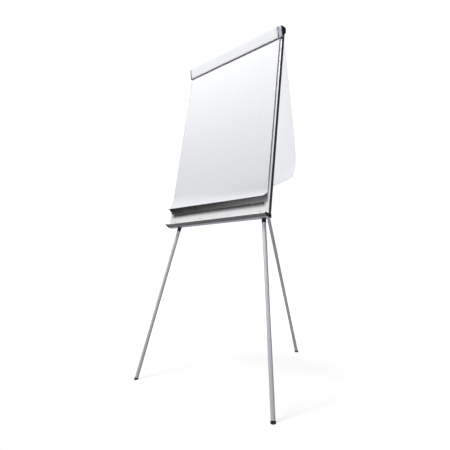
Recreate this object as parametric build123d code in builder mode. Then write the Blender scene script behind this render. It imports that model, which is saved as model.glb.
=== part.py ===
from build123d import *
from math import atan2, cos, pi, radians, sin, sqrt
import os

os.makedirs("parts", exist_ok=True)

# Frame: millimetres, +Z up, the writing side faces -Y, the floor is Z = 0 and the origin is the
# middle of the rectangle that the three feet stand in.

# ---------------------------------------------------------------- driving dimensions
# Stance
BOARD_TILT = 15.0  # lean of the board from the vertical, degrees
BOARD_LOW_Y = -242.0  # bottom front edge of the board
BOARD_LOW_Z = 810.0
FOOT_X = 441.0  # front feet, either side of the middle
FOOT_FRONT_Y = -450.0

# Board
BOARD_W = 700.0
BOARD_T = 17.0
FACE_T = 0.5
BACK_T = 0.5
TRIM_T = 1.5
TRIM_LIP = 9.0
TRIM_TOP = 1038.0
PANEL_TOP = 1015.0
RAIL_WALL = 1.5
RAIL_LOW = -4.4  # underside of the bottom rail

# Pen tray: a shelf that rises away from the board
TRAY_DEPTH = 27.2
TRAY_RISE = 7.8
TRAY_FLANGE = 30.0
TRAY_WALL = 1.5
TRAY_BEAD_R = 1.3

# Paper clamp, heights measured up the board from its bottom edge
CLAMP_LOW = 1000.0
BAR_LOW_V = 1000.8  # lower edge of the bar's front wall, middle of the wall
BAR_LOW_W = 12.0
BAR_RISE = 61.0  # the front wall stands plumb
BAR_DEPTH = 33.0  # the top wall lies level
BAR_LEFT = -340.2
BAR_RIGHT = 334.8
BAR_WALL = 2.0
HINGE_V = 1050.0  # axis of the clamp bar
HINGE_W = -7.0
HINGE_RING_R = 6.0
ROD_R = 3.0
RIGHT_CAP_OUT = 360.0
RIGHT_CAP_IN = 350.3
LEFT_CAP_OUT = -346.8
LEFT_CAP_IN = -341.2
HOOK_X = 200.0
HOOK_V = 1032.0
HOOK_TRAVEL = 20.0
PEG_R = 3.0

# Paper
PAD_W = 676.0
PAD_BACK = 2.0
PAD_FRONT = 8.5
PAD_TOP = 1040.0
PAD_LOW = 72.0
CARD_T = 0.9
SHEET_T = 1.2
SHEET_MID = -2.5  # the used sheets lie a little to the left
SHEET_TOP_Z = 1817.0
SHEET_END_Z = 1034.0

# Legs
INNER_R = 9.5
INNER_WALL = 1.0
OUTER_R = 11.0
OUTER_WALL = 1.2
SLIDE_GAP = 0.1
EXIT_X = 302.0  # where a front leg leaves the board, one side
EXIT_V = -20.0
EXIT_W = -34.0
FRONT_OUTER_L = 920.0
COLLAR_R = 13.5
COLLAR_H = 36.0
BUSH_L = 22.0
OVERLAP = 130.0
FOOT_R = 11.0
FOOT_CUP = 9.0
FOOT_SOLE = 4.0

# Rear hinge
PIVOT_V = 975.0
PIVOT_W = -49.0
EAR_GAP = 14.0  # inner face of a bracket ear from the middle
EAR_T = 2.5
EAR_R = 12.0
BOLT_R = 4.0
REAR_OUTER_L = 840.0

# Leg locks
STUD_R = 3.0
BOSS_REACH = 19.0
KNOB_R = 17.0
KNOB_H = 14.0
KNOB_LOBES = 5
COLLAR_DROP = 14.0

SCREW_R = 1.6
SCREW_L = 11.0
SCREW_HEAD_R = 3.2
SCREW_HEAD_H = 2.0
CLEAR = 0.1  # gap that keeps separate pieces from sharing volume

# ---------------------------------------------------------------- derived places
TILT_S = sin(radians(BOARD_TILT))
TILT_C = cos(radians(BOARD_TILT))
# Board plane: local x across, local y up the board, local z out of the writing face.
BOARD = Plane(origin=(0, BOARD_LOW_Y, BOARD_LOW_Z), x_dir=(1, 0, 0), z_dir=(0, -TILT_C, TILT_S))


def at_board(x, v, w):
    """World point of a place given across, up and out of the board."""
    return BOARD.from_local_coords(Vector(x, v, w))


def across(x):
    """Plane square to X whose local x runs up the board and local y out of its face."""
    return Plane(origin=at_board(x, 0, 0), x_dir=(0, TILT_S, TILT_C), z_dir=(1, 0, 0))


def plumb(point, rise, back=0.0):
    """Place in an across() plane that lies above and behind another by world distances."""
    v, w = point
    return (v + rise * TILT_C + back * TILT_S, w + rise * TILT_S - back * TILT_C)


def leg_plane(start, end):
    """Plane at start whose local z runs along the leg to end; local -y faces the rear."""
    return Plane(origin=start, x_dir=(1, 0, 0), z_dir=end - start)


def save(part, name):
    part.label = name
    export_step(part, f"parts/{name}.step")


SIDES = ((-1, "left"), (1, "right"))
exit_point = {s: at_board(s * EXIT_X, EXIT_V, EXIT_W) for s, _ in SIDES}
foot_point = {s: Vector(s * FOOT_X, FOOT_FRONT_Y, 0) for s, _ in SIDES}
front_leg = {s: leg_plane(exit_point[s], foot_point[s]) for s, _ in SIDES}
front_reach = (foot_point[1] - exit_point[1]).length

pivot = at_board(0, PIVOT_V, PIVOT_W)
# A leaning round foot cut by the floor is an ellipse, so the rear foot is placed for both
# ends of the footprint to lie equally far from the origin.
front_slope = (exit_point[1].Y - FOOT_FRONT_Y) / exit_point[1].Z
front_edge = FOOT_R * sqrt(1 + front_slope**2) - FOOT_FRONT_Y
rear_guess = front_edge - FOOT_R
rear_slope = (rear_guess - pivot.Y) / pivot.Z
foot_rear_y = front_edge - FOOT_R * sqrt(1 + rear_slope**2)
rear_foot_point = Vector(0, foot_rear_y, 0)
rear_leg = leg_plane(pivot, rear_foot_point)
rear_reach = (rear_foot_point - pivot).length

outer_bore = OUTER_R - OUTER_WALL
screw_hole = SCREW_R + CLEAR

# Screw places, across and up the board
tray_screw_places = [(x, 26.0) for x in (-300.0, -100.0, 100.0, 300.0)]
rail_screw_places = [(x, 1007.0) for x in (-280.0, -95.0, 95.0, 280.0)]
bracket_screw_places = [(x, v) for x in (-24.0, 24.0) for v in (PIVOT_V - 16, PIVOT_V + 12)]
BRACKET_W = 66.0
BRACKET_LOW = PIVOT_V - 24
BRACKET_HIGH = PIVOT_V + 20
BRACKET_T = 2.5

# Saddles: along-leg distance from the exit point to a saddle's middle
SADDLE_AT = {"lower": -125.0, "upper": -880.0}
SADDLE_H = 26.0
SADDLE_WALL = 3.0
SADDLE_FOOT_W = 62.0
SADDLE_FOOT_T = 4.0


def leg_on_board(s, along):
    """Board coordinates of a point on a front leg's axis."""
    return BOARD.to_local_coords(exit_point[s] + front_leg[s].z_dir * along)


saddle_screw_places = []
for side, _ in SIDES:
    for along in SADDLE_AT.values():
        spot = leg_on_board(side, along)
        for step in (-24.0, 24.0):
            saddle_screw_places.append((spot.X + step, spot.Y))

back_screw_places = rail_screw_places + bracket_screw_places + saddle_screw_places

# ---------------------------------------------------------------- board
panel_half = BOARD_W / 2 - TRIM_T - CLEAR
panel_low = RAIL_LOW + RAIL_WALL + CLEAR
panel_mid = (panel_low + PANEL_TOP) / 2
panel_size = (2 * panel_half, PANEL_TOP - panel_low)

with BuildPart() as writing_surface:
    with BuildSketch(BOARD):
        with Locations((0, panel_mid)):
            Rectangle(*panel_size)
        with Locations(*tray_screw_places):
            Circle(screw_hole, mode=Mode.SUBTRACT)
    extrude(amount=-FACE_T)
save(writing_surface.part, "writing_surface")

CORE_HOLE = 11.0
with BuildPart() as board_core:
    with BuildSketch(BOARD.offset(-FACE_T)):
        with Locations((0, panel_mid)):
            Rectangle(*panel_size)
    extrude(amount=-(BOARD_T - FACE_T - BACK_T))
    with BuildSketch(BOARD.offset(-FACE_T)):
        with Locations(*tray_screw_places):
            Circle(screw_hole)
    extrude(amount=-CORE_HOLE, mode=Mode.SUBTRACT)
    with BuildSketch(BOARD.offset(BACK_T - BOARD_T)):
        with Locations(*back_screw_places):
            Circle(screw_hole)
    extrude(amount=CORE_HOLE, mode=Mode.SUBTRACT)
save(board_core.part, "board_core")

with BuildPart() as board_back_sheet:
    with BuildSketch(BOARD.offset(-BOARD_T)):
        with Locations((0, panel_mid)):
            Rectangle(*panel_size)
        with Locations(*back_screw_places):
            Circle(screw_hole, mode=Mode.SUBTRACT)
    extrude(amount=BACK_T)
save(board_back_sheet.part, "board_back_sheet")

# Side trims: an L over the panel's edge with a short lip behind the panel
for side, side_name in SIDES:
    with BuildPart() as side_trim:
        with BuildSketch(BOARD):
            with Locations((side * (BOARD_W / 2 - TRIM_T / 2), (panel_low + TRIM_TOP) / 2)):
                Rectangle(TRIM_T, TRIM_TOP - panel_low)
        extrude(amount=-(BOARD_T + CLEAR + TRIM_T))
        with BuildSketch(BOARD.offset(-BOARD_T - CLEAR)):
            with Locations((side * (BOARD_W / 2 - TRIM_LIP / 2), panel_mid - 10)):
                Rectangle(TRIM_LIP, panel_size[1] - 40)
        extrude(amount=-TRIM_T)
        long_edges = side_trim.edges().filter_by(Axis((0, 0, 0), (0, TILT_S, TILT_C)))
        fillet(long_edges.group_by(Axis.X)[-1 if side > 0 else 0], 0.4)
    save(side_trim.part, f"side_trim_{side_name}")

# Bottom rail: a channel that closes the panel's lower edge
rail_front = RAIL_WALL + CLEAR
rail_back = -BOARD_T - RAIL_WALL - 3 * CLEAR - TRIM_T
rail_front_top = -TRAY_WALL / 2 - 2 * CLEAR
with BuildPart() as bottom_rail:
    with BuildSketch(across(-BOARD_W / 2)):
        with BuildLine():
            Polyline(
                (rail_front_top, CLEAR),
                (rail_front_top, rail_front),
                (RAIL_LOW, rail_front),
                (RAIL_LOW, rail_back),
                (16.0, rail_back),
                (16.0, rail_back + RAIL_WALL),
                (RAIL_LOW + RAIL_WALL, rail_back + RAIL_WALL),
                (RAIL_LOW + RAIL_WALL, CLEAR),
                close=True,
            )
        make_face()
    extrude(amount=BOARD_W)
    fillet(bottom_rail.edges().filter_by(Axis.X).group_by(Axis.Z)[0], 0.6)
save(bottom_rail.part, "bottom_rail")

# Pen tray: flange on the board, then a narrow shelf that rises to a thin bead
TRAY_BEND = 2.5
tray_inner = CLEAR + TRAY_WALL / 2
with BuildPart() as pen_tray:
    with BuildSketch(across(-BOARD_W / 2)):
        with BuildLine() as tray_path:
            Polyline((TRAY_FLANGE, tray_inner), (0, tray_inner), (TRAY_RISE, TRAY_DEPTH))
            fillet(tray_path.vertices().group_by(Axis.X)[0], TRAY_BEND)
        trace(line_width=TRAY_WALL)
        with Locations((TRAY_RISE, TRAY_DEPTH)):
            Circle(TRAY_BEAD_R)
    extrude(amount=BOARD_W)
    with BuildSketch(BOARD):
        with Locations(*tray_screw_places):
            Circle(screw_hole)
    extrude(amount=TRAY_WALL + 1, mode=Mode.SUBTRACT)
save(pen_tray.part, "pen_tray")

# End caps of the tray: plates with the tray's outline that also close the bottom rail
TRAY_CAP_T = 2.2
for side, side_name in SIDES:
    with BuildPart() as tray_end_cap:
        with BuildSketch(across(side * (BOARD_W / 2 + CLEAR))):
            with BuildLine() as tray_cap_line:
                Polyline(
                    (RAIL_LOW - 0.4, rail_back - 0.4),
                    (11.0, rail_back - 0.4),
                    (13.0, 2.6),
                    (TRAY_RISE + 5.5, TRAY_DEPTH + 2.0),
                    (TRAY_RISE - 3.0, TRAY_DEPTH + 2.0),
                    (RAIL_LOW - 0.4, rail_front + 1.0),
                    close=True,
                )
                fillet(tray_cap_line.vertices().group_by(Axis.Y)[-1], 3.0)
            make_face()
        extrude(amount=side * TRAY_CAP_T)
        outer_face = tray_end_cap.faces().sort_by(Axis.X)[-1 if side > 0 else 0]
        fillet(outer_face.edges(), 0.8)
    save(tray_end_cap.part, f"tray_end_cap_{side_name}")


def pan_screws(places, seat, direction):
    """Pan-head screws: heads stand on the seat plane, shanks run down into the hole."""
    with BuildPart() as screws:
        with BuildSketch(BOARD.offset(seat)):
            with Locations(*places):
                Circle(SCREW_HEAD_R)
        extrude(amount=direction * SCREW_HEAD_H)
        top_rims = screws.edges().filter_by(GeomType.CIRCLE)
        outer = top_rims.sort_by(lambda e: direction * BOARD.to_local_coords(e.center()).Z)
        fillet(outer[-len(places) :], 0.9)
        with BuildSketch(BOARD.offset(seat)):
            with Locations(*places):
                Circle(SCREW_R)
        extrude(amount=-direction * SCREW_L)
        with BuildSketch(BOARD.offset(seat + direction * SCREW_HEAD_H)):
            with Locations(*places):
                Rectangle(3.6, 0.8)
                Rectangle(0.8, 3.6)
        extrude(amount=-direction * 1.1, mode=Mode.SUBTRACT)
    return screws.part


save(pan_screws(tray_screw_places, tray_inner + TRAY_WALL / 2 + CLEAR, 1), "tray_screws")

# ---------------------------------------------------------------- paper clamp
# Rail: grips the panel's upper edge and carries the hook slot
SLOT_MOUTH = 3.2
SLOT_HALF = 5.0
RAIL_TOP = 1041.0
RAIL_LIP_TOP = 1021.0
rail_half = BOARD_W / 2 - TRIM_T - CLEAR
rail_lip_back = -BOARD_T - CLEAR - TRIM_T - 0.4
rail_flange_back = rail_lip_back - RAIL_WALL
with BuildPart() as top_rail:
    with BuildSketch(across(-rail_half)):
        with BuildLine():
            Polyline(
                (CLAMP_LOW, rail_flange_back),
                (1035.0, rail_flange_back),
                (RAIL_TOP, -15.0),
                (RAIL_TOP, 0),
                (HOOK_V + SLOT_MOUTH, 0),
                (HOOK_V + SLOT_MOUTH, -2.5),
                (HOOK_V + SLOT_HALF, -2.5),
                (HOOK_V + SLOT_HALF, -7.0),
                (HOOK_V - SLOT_HALF, -7.0),
                (HOOK_V - SLOT_HALF, -2.5),
                (HOOK_V - SLOT_MOUTH, -2.5),
                (HOOK_V - SLOT_MOUTH, 0),
                (RAIL_LIP_TOP + 2, 0),
                (RAIL_LIP_TOP, RAIL_WALL + CLEAR),
                (1006.0, RAIL_WALL + CLEAR),
                (1006.0, CLEAR),
                (PANEL_TOP + CLEAR, CLEAR),
                (PANEL_TOP + CLEAR, rail_lip_back),
                (CLAMP_LOW, rail_lip_back),
                close=True,
            )
        make_face()
        with Locations((1026.0, -13.5)):
            Rectangle(14.0, 9.0, mode=Mode.SUBTRACT)
    extrude(amount=2 * rail_half)
    with BuildSketch(BOARD.offset(rail_flange_back - 1)):
        with Locations(*rail_screw_places):
            Circle(screw_hole)
    extrude(amount=RAIL_WALL + 2, mode=Mode.SUBTRACT)
save(top_rail.part, "top_rail")

# Outline shared by the bar, the block and the caps, as places in an across() plane
bar_low = (BAR_LOW_V, BAR_LOW_W)
bar_corner = plumb(bar_low, BAR_RISE)
bar_back = plumb(bar_corner, 0, BAR_DEPTH)
front_low = plumb(bar_low, 0, -BAR_WALL / 2)
front_high = plumb(bar_corner, BAR_WALL / 2, -BAR_WALL / 2)
cap_front_low = plumb(front_low, -0.4, -0.8)
cap_front_high = plumb(front_high, 0.6, -0.8)
cap_top_back = plumb(front_high, 0.6, BAR_DEPTH + BAR_WALL / 2)
cap_slope = ((1065.5, -12.6), (RAIL_TOP - 1, -15.4))
BLOCK_SEAT = RAIL_WALL + 3 * CLEAR
ROD_IN_CAP = 2.0

# Right end cap: a black plate outside the board's edge with a boss behind the end block
CAP_PLATE_T = 2.3
with BuildPart() as end_cap_right:
    with BuildSketch(across(RIGHT_CAP_OUT - CAP_PLATE_T)):
        with BuildLine():
            Polyline(cap_front_low, cap_front_high, cap_top_back, *cap_slope, (1012.0, 4.0), close=True)
        make_face()
    extrude(amount=CAP_PLATE_T)
    fillet(end_cap_right.faces().sort_by(Axis.X)[-1].edges(), 0.9)
    with BuildSketch(across(RIGHT_CAP_IN)):
        with BuildLine():
            Polyline((1016.0, 1.2), (1066.0, 1.2), (1068.5, -5.0), *cap_slope, close=True)
        make_face()
    extrude(amount=RIGHT_CAP_OUT - CAP_PLATE_T - RIGHT_CAP_IN)
    with BuildSketch(across(RIGHT_CAP_IN)):
        with Locations((HINGE_V, HINGE_W)):
            Circle(ROD_R + 0.05)
    extrude(amount=ROD_IN_CAP + 0.5, mode=Mode.SUBTRACT)
save(end_cap_right.part, "end_cap_right")

# Left end cap: a thin black plate that sits on the rail beside the bar, flush with the sheets
left_front_low = plumb(front_low, -0.4, -3.0)
left_front_high = plumb(front_high, 0.6, -3.0)
with BuildPart() as end_cap_left:
    with BuildSketch(across(LEFT_CAP_IN)):
        with BuildLine() as left_cap_line:
            Polyline(
                (left_front_low[0], BLOCK_SEAT),
                left_front_low,
                left_front_high,
                cap_top_back,
                cap_slope[0],
                (RAIL_TOP + 2 * CLEAR, -14.6),
                (RAIL_TOP + 2 * CLEAR, 2 * CLEAR),
                (RAIL_LIP_TOP + 2.4, 2 * CLEAR),
                (RAIL_LIP_TOP + 0.6, BLOCK_SEAT),
                close=True,
            )
            fillet(left_cap_line.vertices().sort_by_distance((*left_front_low, 0))[0], 4.0)
        make_face()
    extrude(amount=LEFT_CAP_OUT - LEFT_CAP_IN)
    fillet(end_cap_left.faces().sort_by(Axis.X)[0].edges(), 0.7)
    with BuildSketch(across(LEFT_CAP_IN)):
        with Locations((HINGE_V, HINGE_W)):
            Circle(ROD_R + 0.05)
    extrude(amount=-ROD_IN_CAP - 0.5, mode=Mode.SUBTRACT)
save(end_cap_left.part, "end_cap_left")

# End block: a silver filler beside the bar, bevelled round its front face
BLOCK_IN = 335.8
BLOCK_BEVEL = 2.4
block_out = RIGHT_CAP_OUT - CAP_PLATE_T - CLEAR
with BuildPart() as end_block_right:
    with BuildSketch(across(BLOCK_IN)):
        with BuildLine():
            Polyline(
                (front_low[0], BLOCK_SEAT),
                front_low,
                front_high,
                plumb(front_high, 0, 25.0),
                (1060.0, BLOCK_SEAT),
                close=True,
            )
        make_face()
    extrude(amount=block_out - BLOCK_IN)
    block_front = end_block_right.faces().sort_by(Axis.Y)[0]
    chamfer(block_front.edges(), BLOCK_BEVEL, BLOCK_BEVEL / 2, reference=block_front)
    with BuildSketch(across(BLOCK_IN - 1)):
        with Locations((PAD_TOP / 2, PAD_FRONT / 2)):
            Rectangle(PAD_TOP + 2, PAD_FRONT + 1.6)
    extrude(amount=PAD_W / 2 - BLOCK_IN + 2, mode=Mode.SUBTRACT)
save(end_block_right.part, "end_block_right")

with BuildPart() as clamp_hinge_rod:
    with BuildSketch(across(LEFT_CAP_IN - ROD_IN_CAP)):
        with Locations((HINGE_V, HINGE_W)):
            Circle(ROD_R)
    extrude(amount=RIGHT_CAP_IN - LEFT_CAP_IN + 2 * ROD_IN_CAP)
    chamfer(clamp_hinge_rod.edges().filter_by(GeomType.CIRCLE), 0.5)
save(clamp_hinge_rod.part, "clamp_hinge_rod")

# Clamp bar: bent front wall, top wall and a row of hinge rings on the rod
BAR_CORNER = 3.0
SPRING_X = 120.0
SPRING_ROOM = 14.0
with BuildPart() as clamp_bar:
    with BuildSketch(across(BAR_LEFT)):
        with BuildLine() as bar_path:
            Polyline(bar_low, bar_corner, bar_back, (HINGE_V + HINGE_RING_R - 1, HINGE_W))
            fillet(bar_path.vertices().sort_by_distance((*bar_corner, 0))[0], BAR_CORNER)
        trace(line_width=BAR_WALL)
        with Locations((HINGE_V, HINGE_W)):
            Circle(HINGE_RING_R)
            Circle(ROD_R + 0.08, mode=Mode.SUBTRACT)
    extrude(amount=BAR_RIGHT - BAR_LEFT)
    for spring_side in (-1, 1):
        with BuildSketch(across(spring_side * SPRING_X - SPRING_ROOM / 2)):
            with Locations((HINGE_V, HINGE_W)):
                Circle(HINGE_RING_R + 1)
        extrude(amount=SPRING_ROOM, mode=Mode.SUBTRACT)
save(clamp_bar.part, "clamp_bar")

# Grip strip: a rubber wedge between the bar's lower edge and the pad
GRIP_H = 9.0
grip_front_low = plumb(bar_low, 0.5, BAR_WALL / 2 + CLEAR)
grip_front_high = plumb(bar_low, GRIP_H, BAR_WALL / 2 + CLEAR)
grip_face = PAD_FRONT + 2 * CLEAR
with BuildPart() as clamp_grip_strip:
    with BuildSketch(across(BAR_LEFT + 2)):
        with BuildLine():
            Polyline(
                (BAR_LOW_V + 0.5, grip_face),
                grip_front_low,
                grip_front_high,
                (BAR_LOW_V + GRIP_H / 2, grip_face),
                close=True,
            )
        make_face()
    extrude(amount=BAR_RIGHT - BAR_LEFT - 4)
save(clamp_grip_strip.part, "clamp_grip_strip")

# Torsion springs: a coil round the rod with one leg on the rail and one behind the bar's front.
# The coil is made standing on the XY plane, then laid on the rod.
COIL_R = 4.2
WIRE_R = 0.5
COIL_TURNS = 6.25
COIL_PITCH = 1.4
FRONT_LEG_L = 26.0
BACK_LEG_L = 8.2
coil_length = COIL_TURNS * COIL_PITCH
coil_rise = atan2(COIL_PITCH, 2 * pi * COIL_R)
back_way = Vector(0, cos(coil_rise), sin(coil_rise))
front_way = Vector(-cos(coil_rise), 0, sin(coil_rise))
coil_low = Vector(COIL_R, 0, 0)
coil_high = Vector(0, COIL_R, coil_length)
with BuildPart() as torsion_spring:
    with BuildLine():
        Line(coil_low - back_way * BACK_LEG_L, coil_low)
        Helix(pitch=COIL_PITCH, height=coil_length, radius=COIL_R)
        Line(coil_high, coil_high + front_way * FRONT_LEG_L)
    with BuildSketch(Plane(origin=coil_low - back_way * BACK_LEG_L, z_dir=back_way)):
        Circle(WIRE_R)
    sweep(is_frenet=True)
for side, side_name in SIDES:
    spring_seat = Plane(
        origin=at_board(side * SPRING_X - coil_length / 2, HINGE_V, HINGE_W),
        x_dir=(0, TILT_C, -TILT_S),
        z_dir=(1, 0, 0),
    )
    save(spring_seat.location * torsion_spring.part, f"clamp_spring_{side_name}")

# Pad hooks: a T-foot in the rail's slot, a finger tab and the peg that holds the pad
for side, side_name in SIDES:
    with BuildPart() as pad_hook:
        with BuildSketch(BOARD.offset(-6.8)):
            with Locations((side * HOOK_X, HOOK_V)):
                RectangleRounded(22.0, 2 * SLOT_HALF - 0.4, 2.0)
        extrude(amount=4.1)
        with BuildSketch(BOARD.offset(-2.7)):
            with Locations((side * HOOK_X, HOOK_V)):
                RectangleRounded(16.0, 2 * SLOT_MOUTH - 0.4, 1.5)
        extrude(amount=2.7 + RAIL_WALL - 0.2)
        with BuildSketch(BOARD):
            with Locations((side * HOOK_X, HOOK_V)):
                Circle(PEG_R)
        extrude(amount=14.0)
        tip = pad_hook.faces().sort_by(lambda f: BOARD.to_local_coords(f.center()).Z)[-1]
        fillet(tip.edges(), 1.4)
    save(pad_hook.part, f"pad_hook_{side_name}")

def leg_face(part, leg, end):
    """Flat face of a leg piece at its low (1) or high (-1) end along the leg."""
    flats = part.faces().filter_by(GeomType.PLANE)
    return flats.sort_by(lambda f: end * leg.to_local_coords(f.center()).Z)[-1]


def outer_tube_part(leg, high, low, stud_at):
    """Thin outer tube with the hole that the lock's stud goes through."""
    with BuildPart() as tube:
        with BuildSketch(leg.offset(high)):
            Circle(OUTER_R)
            Circle(outer_bore, mode=Mode.SUBTRACT)
        extrude(amount=low - high)
        with BuildSketch(stud_plane(leg, stud_at)):
            Circle(STUD_R + 0.2)
        extrude(amount=OUTER_R + 2, mode=Mode.SUBTRACT)
    return tube.part


def stud_plane(leg, along):
    """Plane on the leg's axis that faces the rear, where a lock's stud and knob sit."""
    return Plane(
        origin=leg.from_local_coords(Vector(0, 0, along)), x_dir=leg.x_dir, z_dir=-leg.y_dir
    )


def guide_bush_part(leg, low):
    """Collar that carries on from the outer tube and guides the inner one."""
    with BuildPart() as bush:
        with BuildSketch(leg.offset(low + CLEAR)):
            Circle(OUTER_R - 0.1)
        extrude(amount=BUSH_L, taper=1.2)
        with BuildSketch(leg.offset(low - 10.0)):
            Circle(OUTER_R + 1.0)
        extrude(amount=10.0 + 1.0)
        fillet(leg_face(bush.part, leg, -1).edges(), 0.5)
        fillet(leg_face(bush.part, leg, 1).edges(), 0.4)
        with BuildSketch(leg.offset(low - 12.0)):
            Circle(OUTER_R + 0.05)
        extrude(amount=12.0 + CLEAR, mode=Mode.SUBTRACT)
        with BuildSketch(leg.offset(low - 12.0)):
            Circle(INNER_R + SLIDE_GAP)
        extrude(amount=BUSH_L + 16.0, mode=Mode.SUBTRACT)
    return bush.part


def clamp_collar_part(leg, low):
    """Lock housing clamped round the outer tube, with a boss for the knob's stud."""
    stud = stud_plane(leg, low - COLLAR_H / 2)
    with BuildPart() as collar:
        with BuildSketch(leg.offset(low - COLLAR_H)):
            Circle(COLLAR_R)
        extrude(amount=COLLAR_H)
        with BuildSketch(stud):
            RectangleRounded(20.0, 24.0, 4.0)
        extrude(amount=BOSS_REACH)
        fillet(leg_face(collar.part, leg, -1).edges(), 1.0)
        fillet(leg_face(collar.part, leg, 1).edges(), 1.0)
        with BuildSketch(leg.offset(low - COLLAR_H)):
            Circle(OUTER_R + 0.05)
        extrude(amount=COLLAR_H, mode=Mode.SUBTRACT)
        with BuildSketch(stud):
            Circle(STUD_R + 0.05)
        extrude(amount=BOSS_REACH + 2, mode=Mode.SUBTRACT)
    return collar.part


def leg_knob_part(leg, along):
    """Five-lobed hand knob with its steel stud."""
    stud = stud_plane(leg, along)
    knob_seat = BOSS_REACH + 1.0
    with BuildPart() as knob:
        with BuildSketch(stud.offset(knob_seat)):
            Circle(KNOB_R)
            with PolarLocations(KNOB_R + 1.5, KNOB_LOBES):
                Circle(5.5, mode=Mode.SUBTRACT)
        extrude(amount=KNOB_H)
        with BuildSketch(stud.offset(knob_seat)):
            Circle(7.0)
        extrude(amount=KNOB_H + 2.0)
        crown = knob.faces().sort_by(lambda f: stud.to_local_coords(f.center()).Z)[-1]
        fillet(crown.edges(), 1.5)
        with BuildSketch(stud.offset(INNER_R + 0.2)):
            Circle(STUD_R)
        extrude(amount=knob_seat - INNER_R)
    return knob.part


def inner_tube_part(leg, high, reach):
    with BuildPart() as tube:
        with BuildSketch(leg.offset(high)):
            Circle(INNER_R)
            Circle(INNER_R - INNER_WALL, mode=Mode.SUBTRACT)
        extrude(amount=reach - FOOT_SOLE - high)
    return tube.part


def glide_plug_part(leg, high):
    """Plastic plug on the inner tube's upper end that centres it in the outer tube."""
    with BuildPart() as plug:
        with BuildSketch(leg.offset(high)):
            Circle(outer_bore - 0.05)
        extrude(amount=-10.0)
        chamfer(leg_face(plug.part, leg, -1).edges(), 1.0)
        with BuildSketch(leg.offset(high)):
            Circle(INNER_R - INNER_WALL - 0.05)
        extrude(amount=14.0)
    return plug.part


def foot_part(leg, reach):
    """Rubber cup on the tube's end, cut flat by the floor."""
    with BuildPart() as foot:
        with BuildSketch(leg.offset(reach - FOOT_CUP)):
            Circle(FOOT_R)
        extrude(amount=FOOT_CUP + FOOT_R)
        fillet(leg_face(foot.part, leg, -1).edges(), 1.0)
        with BuildSketch(leg.offset(reach - FOOT_CUP - 1)):
            Circle(INNER_R + 0.03)
        extrude(amount=FOOT_CUP + 1 - FOOT_SOLE + CLEAR, mode=Mode.SUBTRACT)
        split(bisect_by=Plane.XY, keep=Keep.TOP)
    return foot.part


def telescopic_leg(leg, name, high, low, reach):
    """Every piece of a leg below its upper fixing, from the outer tube to the foot."""
    collar_low = low - COLLAR_DROP
    collar_mid = collar_low - COLLAR_H / 2
    inner_high = low - OVERLAP
    save(outer_tube_part(leg, high, low, collar_mid), f"outer_tube_{name}")
    save(guide_bush_part(leg, low), f"guide_bush_{name}")
    save(clamp_collar_part(leg, collar_low), f"clamp_collar_{name}")
    save(leg_knob_part(leg, collar_mid), f"leg_knob_{name}")
    save(inner_tube_part(leg, inner_high, reach), f"inner_tube_{name}")
    save(glide_plug_part(leg, inner_high), f"glide_plug_{name}")
    save(foot_part(leg, reach), f"foot_{name}")


def saddle_part(s, along):
    """Block between the board's back and a front leg's outer tube, with two screw ears."""
    leg = front_leg[s]
    spot = leg_on_board(s, along)
    top = -spot.Z + OUTER_R + SADDLE_WALL - BOARD_T - CLEAR
    with BuildPart() as saddle:
        with BuildSketch(BOARD.offset(-BOARD_T - CLEAR)):
            with Locations((spot.X, spot.Y)):
                RectangleRounded(SADDLE_FOOT_W, SADDLE_H, 3.0)
        extrude(amount=-SADDLE_FOOT_T)
        with BuildSketch(BOARD.offset(-BOARD_T - CLEAR)):
            with Locations((spot.X, spot.Y)):
                RectangleRounded(2 * (OUTER_R + SADDLE_WALL) + 4, SADDLE_H, 2.0)
        extrude(amount=-top)
        crown = saddle.faces().sort_by(lambda f: BOARD.to_local_coords(f.center()).Z)[0]
        fillet(crown.edges(), 2.5)
        with BuildSketch(leg.offset(along - 3 * SADDLE_H)):
            Circle(OUTER_R + 0.05)
        extrude(amount=6 * SADDLE_H, mode=Mode.SUBTRACT)
        with BuildSketch(BOARD.offset(-BOARD_T)):
            with Locations((spot.X - 24.0, spot.Y), (spot.X + 24.0, spot.Y)):
                Circle(screw_hole)
        extrude(amount=-SADDLE_FOOT_T - 2, mode=Mode.SUBTRACT)
    return saddle.part


# ---------------------------------------------------------------- front legs
for side, side_name in SIDES:
    leg = front_leg[side]
    telescopic_leg(leg, side_name, -FRONT_OUTER_L, -BUSH_L, front_reach)
    for level, along in SADDLE_AT.items():
        save(saddle_part(side, along), f"{level}_saddle_{side_name}")
    with BuildPart() as tube_top_plug:
        with BuildSketch(leg.offset(-FRONT_OUTER_L - CLEAR)):
            Circle(OUTER_R)
        extrude(amount=-3.0)
        fillet(leg_face(tube_top_plug.part, leg, -1).edges(), 1.2)
        with BuildSketch(leg.offset(-FRONT_OUTER_L - CLEAR)):
            Circle(outer_bore - CLEAR)
        extrude(amount=12.0)
    save(tube_top_plug.part, f"tube_top_plug_{side_name}")

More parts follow.
